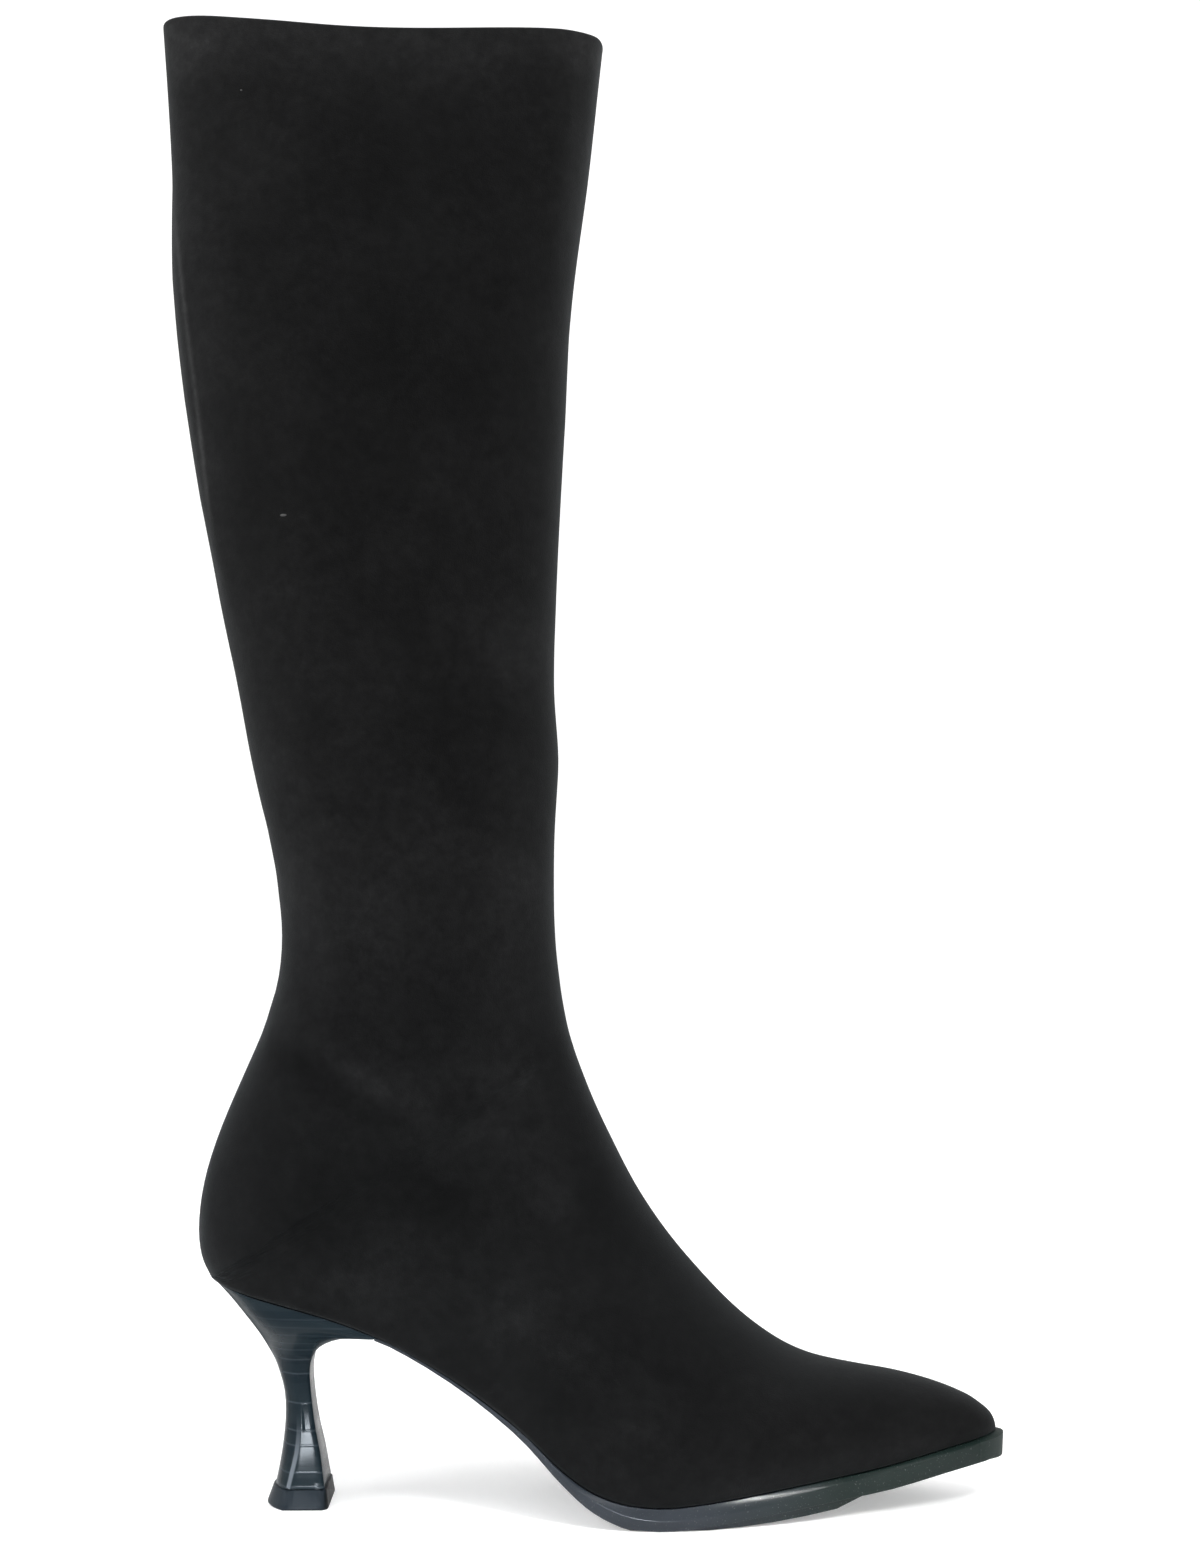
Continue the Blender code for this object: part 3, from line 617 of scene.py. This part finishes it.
def stack_joints(n, height):
    """Mask of the thin joints between the heel's layers, fainter near the seat."""
    joints = 0.0
    for level in STACK_JOINTS:
        away = n.math("ABSOLUTE", n.math("SUBTRACT", height, level))
        joint = n.map_range(away, JOINT_CORE, JOINT_EDGE, 1.0, 0.0)
        joints = n.math("MAXIMUM", joints, joint)
    return n.math("MULTIPLY", joints, n.map_range(height, *JOINT_FADE, 1.0, 0.4))


def heel_material(handling):
    """Stacked layers of unlike darkness with pale joints, under a gloss coat that is duller
    where the block turns away; an attribute brings a painted highlight along the rear ridges."""
    mat, n, shader, place = material("stacked_layers", 0.16, Specular_IOR_Level=0.045)
    height = n.math("MULTIPLY", n.axes(place)["Z"], 1 / MM)
    joints = stack_joints(n, height)
    out = use_group(n, handling, Vector=place, Smear_size=80.0)
    layer = n.noise(n.math("SNAP", height, LAYER_STEP), 0.7, 1.0)
    layers = n.mix(n.map_range(layer, 0.35, 0.65), *STACK)
    jointed = n.mix(joints, layers, STACK_JOINT)
    # painted highlight along the rear ridges
    base = n.mix(n.attribute("painted_ridge_highlight"), jointed, PAINTED_RIDGE_HIGHLIGHT)
    n.link(base, shader.inputs["Base Color"])
    coat = n.map_range(layer, 0.35, 0.65, 0.075, 0.15)
    smeared = n.math("ADD", coat, n.math("MULTIPLY", out["Smear"], 0.05))
    facing = n.add("ShaderNodeLayerWeight").outputs["Facing"]
    most = n.map_range(height, *SEAT_ZONE, 0.16, 0.6)
    turned = n.math("MULTIPLY", n.map_range(facing, 0.65, 0.95), most)
    n.link(n.math("ADD", smeared, turned), shader.inputs["Roughness"])
    bump(n, shader, n.math("SUBTRACT", 1.0, joints), 0.1, 0.0002)
    return mat


def top_piece_material(handling):
    """Dark grey rubber of the top piece, with painted shade on the end that faces the toe."""
    mat, n, shader, place = material("top_piece_rubber", 0.45, Specular_IOR_Level=0.08)
    out = use_group(n, handling, Vector=place, Smear_size=140.0)
    front = n.map_range(n.axes(place)["X"], *map(frame_x, TOP_PIECE_END))
    sides = n.mix(out["Smear"], *TOP_PIECE)
    # painted shade on the front end
    n.link(n.mix(front, sides, TOP_PIECE_FRONT_SHADE), shader.inputs["Base Color"])
    n.link(n.map_range(out["Smear"], 0.0, 1.0, 0.38, 0.55), shader.inputs["Roughness"])
    grit = n.noise(place, 1800.0, 2.0)
    bump(n, shader, grit, 0.12, 0.0003)
    return mat


def lint_material():
    """Grey tufted lint."""
    mat, n, shader, place = material("lint", 0.9)
    tufts = n.noise(place, 3000.0, 2.0)
    n.link(n.mix(tufts, *LINT_GREY), shader.inputs["Base Color"])
    bump(n, shader, tufts, 0.3, 0.0002)
    return mat


# Pieces of the upper


def line_distance(points, x, z, fade):
    """For arrays x and z: the distance to a line of points, and the line's strength at the
    nearest place on it, which dies out over the fade length at both ends."""
    best = np.full(len(x), np.inf)
    along = np.zeros(len(x))
    run = 0.0
    total = sum(math.dist(a, b) for a, b in zip(points, points[1:]))
    for (ax, az), (bx, bz) in zip(points, points[1:]):
        length = math.dist((ax, az), (bx, bz))
        ux, uz = (bx - ax) / length, (bz - az) / length
        share = np.clip((x - ax) * ux + (z - az) * uz, 0, length)
        away = np.hypot(x - ax - share * ux, z - az - share * uz)
        nearer = away < best
        best = np.where(nearer, away, best)
        along = np.where(nearer, run + share, along)
        run += length
    edge = np.minimum(along, total - along)
    reach = min(fade, total / 2)
    strength = np.clip(edge / reach, 0, 1)
    return best, strength * strength * (3 - 2 * strength)


def fold_heights(x, y, z):
    """How far each point of the upper stands out because of its folds."""
    height = np.zeros(len(x))
    for fold in FOLDS:
        away, strength = line_distance(fold.points, x, z, fold.fade)
        side = np.clip(0.5 + fold.side * y / FOLD_SIDE, 0, 1)
        height += fold.height * np.exp(-((away / fold.width) ** 2)) * strength * side
    return height


def nap_and_painted_light_tones(x, z):
    """How much lighter each point is painted, for the nap's own patches and for painted light and
    shade, from the table of patches.
    """
    tone = np.zeros(len(x))
    # patches of painted light and shade, and the nap's own patches
    for patch in NAP_AND_PAINTED_LIGHT_PATCHES:
        turn = math.radians(patch.turn)
        dx, dz = x - patch.x, z - patch.z
        along = (dx * math.cos(turn) + dz * math.sin(turn)) / patch.along
        across = (dz * math.cos(turn) - dx * math.sin(turn)) / patch.across
        tone += patch.tone * np.exp(-(along**2 + across**2))
    return tone


def flood(start, edges):
    """Faces reached from one face without crossing the given edges."""
    found = {start}
    front = [start]
    while front:
        face = front.pop()
        for edge in face.edges:
            if edge in edges:
                continue
            for other in edge.link_faces:
                if other not in found:
                    found.add(other)
                    front.append(other)
    return found


def round_rim(bm, sharp):
    """Rounds the collar's folded edge over on both sides."""
    layer = bm.edges.layers.float["crease_edge"]
    rim = [e for e in sharp if all(v.co.z > RIM_BASE * MM for v in e.verts)]
    for edge in rim:
        edge[layer] = 0.0
    round_edges(bm, rim, RIM_ROUND, 3)


def upper_piece(suede, lining):
    """The suede shell with its lining, folds and brushed patches, and painted light and shade in
    the tone of its nap.
    """
    bm = merged("upper")
    to_quads(bm)
    sharp = set(crease_edges(bm, 45))
    middles = {face: face.calc_center_median() for face in bm.faces if face.normal.x > 0.7}
    low, high = LINING_BAND
    forward = [face for face, middle in middles.items() if low * MM < middle.z < high * MM]
    lined = flood(min(forward, key=lambda face: middles[face].x), sharp)
    for face in bm.faces:
        face.material_index = 1 if face in lined else 0
    round_rim(bm, sharp)
    upper = piece("suede_upper", bm, [suede, lining], "upper")
    subdivide(upper, 2)
    apply_modifiers(upper)
    shape_folds(upper)
    return upper


def fullness(normals, z):
    """How far each point stands out by the table of fullness; what faces sideways or down
    stays as it is."""
    levels = [row.z for row in FULLNESS]
    front = np.interp(z, levels, [row.front for row in FULLNESS])
    back = np.interp(z, levels, [row.back for row in FULLNESS])
    forward = np.clip(0.5 + normals[:, 0], 0, 1)
    edge = np.sqrt(np.clip(1 - normals[:, 1] ** 2, 0, 1))
    upright = np.clip(1 + 1.5 * normals[:, 2], 0, 1)
    return (forward * front + (1 - forward) * back) * edge * upright


def shape_folds(upper):
    """Moves the skin in and out by its folds and its fullness, lifts the rim a little, and notes
    the tone of the nap, with painted light on the crests of the folds, painted shade in their
    troughs and the painted patches."""
    mesh = upper.data
    count = len(mesh.vertices)
    places = np.empty(count * 3)
    normals = np.empty(count * 3)
    mesh.vertices.foreach_get("co", places)
    mesh.vertices.foreach_get("normal", normals)
    places, normals = places.reshape(-1, 3), normals.reshape(-1, 3)
    lined = np.zeros(count, bool)
    shell = np.zeros(count, bool)
    for face in mesh.polygons:
        (lined if face.material_index else shell)[list(face.vertices)] = True
    outward = np.where((lined & ~shell)[:, None], -normals, normals)
    outward[lined & shell] = 0
    x, y, z = last_x(places[:, 0]), places[:, 1] / MM, places[:, 2] / MM
    heights = fold_heights(x, y, z)
    below_rim = np.clip((FOLD_TOP - z) / FOLD_TOP_FADE, 0, 1)
    full = np.where(shell & ~lined, fullness(normals, z), 0)
    places += outward * ((heights * below_rim + full) * MM)[:, None]
    near_rim = np.clip((z - RIM_LIFT_BASE) / RIM_LIFT_REACH, 0, 1)
    off_front = np.clip((RIM_FRONT_X - x) / RIM_FRONT_REACH, RIM_FRONT_SHARE, 1)
    places[:, 2] += RIM_LIFT * MM * near_rim * off_front
    mesh.vertices.foreach_set("co", places.ravel())
    # the nap's tone with painted light and shade: lighter on fold crests, darker in troughs, and
    # the painted patches
    tones = nap_and_painted_light_tones(x, z) + FOLD_PAINTED_LIGHT * heights
    attribute = mesh.attributes.new("nap", "FLOAT", "POINT")
    attribute.data.foreach_set("value", tones.astype(np.float32))
    mesh.update()


def lint_specks(upper, finish):
    """Pale specks of lint caught in the nap of the outer side."""
    bm = bmesh.new()
    for speck in LINT:
        beside = Vector((frame_x(speck.x), -0.12, speck.z * MM))
        _, place, normal, _ = upper.ray_cast(beside, Vector((0, 1, 0)))
        made = bmesh.ops.create_icosphere(bm, subdivisions=2, radius=MM)
        shape = Matrix.Diagonal((speck.length, speck.height, LINT_DEPTH))
        flat = normal.to_track_quat("Z", "Y").to_matrix() @ shape
        matrix = Matrix.Translation(place) @ flat.to_4x4()
        bmesh.ops.transform(bm, matrix=matrix, verts=made["verts"])
    piece("lint_specks", bm, [finish])


# Pieces of the bottom


def share_past(value, start, reach):
    """How far a value lies past a start, as a share of a reach, from 0 to 1."""
    return min(max((value - start) / reach, 0.0), 1.0)


def sole_piece(finish):
    """The outsole with its edges eased; what faces down is marked as tread."""
    bm = merged("outsole")
    back = min(v.co.x for v in bm.verts)
    for vert in bm.verts:
        if vert.co.x < back + SHANK_END * MM:
            vert.co.x -= SHANK_LAP * MM
        if vert.co.z < TOE_DROP_TOP * MM:
            sunk = share_past(last_x(vert.co.x), TOE_DROP_START, TOE_DROP_REACH)
            vert.co.z -= TOE_DROP * MM * sunk
    layer = bm.verts.layers.float.new("tread")
    for vert in bm.verts:
        down = [f for f in vert.link_faces if f.normal.z < -0.7]
        vert[layer] = 1.0 if len(down) == len(vert.link_faces) else 0.0
    sole = piece("sole_and_welt", bm, [finish], "outsole")
    ease_edges(sole, 0.35, 22)


def upright_edges(bm, degrees):
    """Upright edges between faces that meet at more than an angle."""
    return [e for e in bm.edges if is_upright(e) and e.calc_face_angle() > math.radians(degrees)]


def heel_piece(finish):
    """The stacked block; the strips along its two rear ridges are marked for a painted highlight.
    """
    bm = merged("heel")
    ridges = [e for e in upright_edges(bm, 24) if last_x(e.verts[0].co.x) < RIDGE_X]
    strips = round_edges(bm, ridges, RIDGE_STRIP, 4)
    layer = bm.verts.layers.float.new("painted_ridge_highlight")
    for vert in bm.verts:
        # painted highlight on the ridge strips, fading out upwards
        if vert.link_faces and strips.issuperset(vert.link_faces):
            vert[layer] = share_past(RIDGE_HIGHLIGHT_TOP, vert.co.z / MM, RIDGE_HIGHLIGHT_FADE)
    heel = piece("stacked_heel_block", bm, [finish], "heel")
    ease_edges(heel, 0.3, 30)


def top_lift_piece(finish):
    """The top piece, its front corners rounded less than its rear ones."""
    bm = merged("top_piece")
    corners = upright_edges(bm, 15)
    front = [e for e in corners if last_x(e.verts[0].co.x) > TOP_PIECE_CORNER_X]
    rear = [e for e in corners if e not in front]
    round_edges(bm, front, 0.8, 3)
    round_edges(bm, rear, 1.6, 3)
    lift = piece("heel_top_piece", bm, [finish], "top_piece")
    ease_edges(lift, 0.35, 30)


def sock_piece(leather):
    """The sock and the board under it."""
    sock = piece("sock_and_insole", merged("insole"), [leather], "insole")
    ease_edges(sock, 0.4, 40)


# Studio


def stage_floor():
    """A pale round floor that sweeps up into a wall all round."""
    bm = bmesh.new()
    bmesh.ops.create_circle(bm, cap_ends=True, radius=FLOOR_RADIUS, segments=FLOOR_SIDES)
    radius, height = FLOOR_RADIUS, 0.0
    for step in range(1, SWEEP_STEPS + 2):
        turn = math.radians(90) * min(step / SWEEP_STEPS, 1.0)
        new_radius = FLOOR_RADIUS + SWEEP * math.sin(turn)
        new_height = SWEEP * (1 - math.cos(turn)) + (WALL_HEIGHT if step > SWEEP_STEPS else 0.0)
        rim = [e for e in bm.edges if len(e.link_faces) == 1]
        grown = bmesh.ops.extrude_edge_only(bm, edges=rim)["geom"]
        verts = [v for v in grown if isinstance(v, bmesh.types.BMVert)]
        wider = new_radius / radius
        bmesh.ops.scale(bm, vec=(wider, wider, 1.0), verts=verts)
        bmesh.ops.translate(bm, vec=(0, 0, new_height - height), verts=verts)
        radius, height = new_radius, new_height
    bmesh.ops.recalc_face_normals(bm, faces=bm.faces)
    paper, *_ = material(
        "pale_paper",
        0.9,
        Specular_IOR_Level=0.1,
        Base_Color=PAPER,
        Emission_Color=WHITE,
        Emission_Strength=0.3,
    )
    mesh_object("studio_floor", bm, [paper])


def area_light(name, place, target, width, depth, power, spread=180, tint=(1, 1, 1)):
    """A rectangular light aimed at a target; power in watts, spread in degrees."""
    light = bpy.data.lights.new(name, "AREA")
    light.shape = "RECTANGLE"
    light.size = width
    light.size_y = depth
    light.energy = power
    light.spread = math.radians(spread)
    light.color = tint
    obj = bpy.data.objects.new(name, light)
    obj.location = place
    obj.rotation_euler = (Vector(target) - Vector(place)).to_track_quat("-Z", "Y").to_euler()
    bpy.context.scene.collection.objects.link(obj)


def studio():
    """Light from all round, three softboxes, and two small lights for the gloss of the heel
    and of the sole."""
    surround = bpy.data.worlds.new("studio")
    surround.use_nodes = True
    background = surround.node_tree.nodes["Background"]
    background.inputs["Color"].default_value = WHITE
    background.inputs["Strength"].default_value = 0.5
    bpy.context.scene.world = surround
    bpy.context.scene.view_settings.view_transform = "Standard"
    area_light("left_softbox", (-1.3, -0.5, 0.75), (0, 0, 0.25), 0.9, 1.2, 13)
    area_light("right_softbox", (1.3, -0.4, 0.85), (0, 0, 0.35), 0.9, 1.2, 10)
    area_light("top_softbox", (0.0, -0.65, 1.45), (0, 0, 0.2), 1.2, 0.9, 11)
    heel_face, sole_bevel = (-0.086, 0, 0.02), (0.064, -0.03, 0.01)
    area_light("low_grid", (-0.092, -1.25, 0.095), heel_face, 0.2, 0.17, 0.185, 18, COOL_WHITE)
    area_light("high_grid", (0.414, -0.613, 0.714), sole_bevel, 0.035, 0.1, 0.088, 24)


def camera():
    """The camera, level, square on to the outer side."""
    data = bpy.data.cameras.new("camera")
    data.lens = 64.5
    data.sensor_width = 36
    data.clip_start = 0.05
    obj = bpy.data.objects.new("camera", data)
    obj.location = (0.0051, -0.88, 0.2268)
    obj.rotation_euler = (math.radians(90), 0, 0)
    bpy.context.scene.collection.objects.link(obj)
    bpy.context.scene.camera = obj


nap = nap_group()
handling = handling_group()
upper = upper_piece(suede_material(nap), lining_material(nap))
lint_specks(upper, lint_material())
sole_piece(sole_material(handling))
heel_piece(heel_material(handling))
top_lift_piece(top_piece_material(handling))
sock_piece(sock_material(nap))
stage_floor()
studio()
camera()
